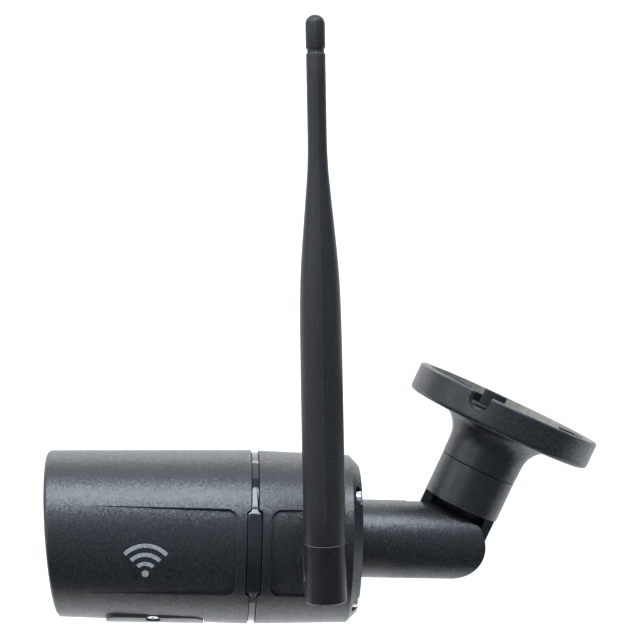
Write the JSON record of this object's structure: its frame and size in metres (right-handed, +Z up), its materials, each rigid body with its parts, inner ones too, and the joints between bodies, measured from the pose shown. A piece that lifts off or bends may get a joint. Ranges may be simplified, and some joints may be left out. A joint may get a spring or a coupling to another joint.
{
  "type": "security camera",
  "caption": "Wireless bullet security camera with a folding antenna, on a bracket that pans, tilts and rolls.",
  "frame": {"origin": "centre of the bracket mounting face, on the bracket axis", "axes": "+Z up with the camera level, -X the way the lens looks, -Y the antenna side; the bracket axis leans 23 degrees from +Z towards +X"},
  "size_m": [0.1827, 0.0845, 0.1965],
  "materials": {
    "powder_coat": "fine textured charcoal powder coat on cast aluminium",
    "gloss_band": "polished black plastic",
    "antenna_plastic": "fine matt black plastic",
    "steel": "bright zinc-plated steel",
    "brass": "gold-plated brass",
    "seal_rubber": "soft black rubber",
    "foam": "closed-cell foam",
    "window_glass": "tinted tempered glass",
    "lens_glass": "coated optical glass",
    "filter_glass": "coated filter glass",
    "black_plastic": "moulded black plastic",
    "circuit_board": "green solder mask",
    "light_board": "black solder mask",
    "chip": "moulded chip package",
    "sensor_glass": "glass-topped sensor package",
    "led_lens": "clear moulded lens",
    "bare_aluminium": "extruded aluminium",
    "shield_steel": "tinned steel",
    "button_plastic": "red plastic"
  },
  "bodies": {
    "base": {"base_flange": "powder_coat"},
    "collar": {"pan_collar": "powder_coat", "pan_washer": "steel", "pan_nut": "steel"},
    "arm": {"bracket_arm": "powder_coat", "arm_seal": "seal_rubber", "roll_nut": "steel", "cable_seal": "seal_rubber", "elbow_washer": "steel", "elbow_screw": "steel"},
    "camera": {"front_shell": "powder_coat", "rear_shell": "powder_coat", "decor_ring": "gloss_band", "shell_seal": "seal_rubber", "shell_screws": "steel", "card_door": "powder_coat", "door_gasket": "seal_rubber", "door_screws": "steel", "window_gasket": "seal_rubber", "front_window": "window_glass", "window_bezel": "black_plastic", "led_board": "light_board", "ir_leds": "led_lens", "light_sensor": "led_lens", "led_board_screws": "steel", "lens_collar": "foam", "lens_barrel": "black_plastic", "front_lens": "lens_glass", "rear_lens": "lens_glass", "lens_holder": "black_plastic", "sensor_board": "circuit_board", "image_sensor": "sensor_glass", "board_standoffs": "brass", "board_screws": "steel", "board_header": "black_plastic", "main_board": "circuit_board", "processor": "chip", "heat_sink": "bare_aluminium", "wifi_module": "shield_steel", "card_socket": "shield_steel", "memory_card": "black_plastic", "reset_switch": "black_plastic", "antenna_port": "brass", "port_seal": "seal_rubber", "port_nut": "brass", "antenna_plug": "brass"},
    "filter": {"filter_slide": "black_plastic", "day_filter": "filter_glass", "night_filter": "filter_glass"},
    "button": {"reset_button": "button_plastic"},
    "knuckle": {"antenna_knuckle": "antenna_plastic"},
    "antenna": {"antenna_sleeve": "antenna_plastic", "antenna_sheath": "antenna_plastic", "antenna_wire": "brass", "hinge_pin": "steel"}
  },
  "joints": [
    {"name": "pan", "type": "hinge", "parent": "base", "child": "collar", "pos_m": [-0.02004, 0, -0.04722], "axis": [0.3907, 0, 0.9205], "range_deg": [-180, 180]},
    {"name": "tilt", "type": "hinge", "parent": "collar", "child": "arm", "pos_m": [-0.02004, 0, -0.04722], "axis": [0, 1, 0], "range_deg": [-67, 23]},
    {"name": "roll", "type": "hinge", "parent": "arm", "child": "camera", "pos_m": [-0.08614, 0, -0.04722], "axis": [1, 0, 0], "range_deg": [-180, 180]},
    {"name": "antenna_swivel", "type": "hinge", "parent": "camera", "child": "knuckle", "pos_m": [-0.06349, -0.028, -0.04922], "axis": [0, -1, 0], "range_deg": [-180, 180]},
    {"name": "antenna_fold", "type": "hinge", "parent": "knuckle", "child": "antenna", "pos_m": [-0.06349, -0.0458, -0.04922], "axis": [0.9986, 0, 0.0523], "range_deg": [0, 90]},
    {"name": "filter_shift", "type": "slide", "parent": "camera", "child": "filter", "axis": [0, 1, 0], "range_m": [0, 0.0058]},
    {"name": "reset_press", "type": "slide", "parent": "camera", "child": "button", "axis": [0, 0, 1], "range_m": [0, 0.0004], "stiffness_N_per_m": 800}
  ]
}
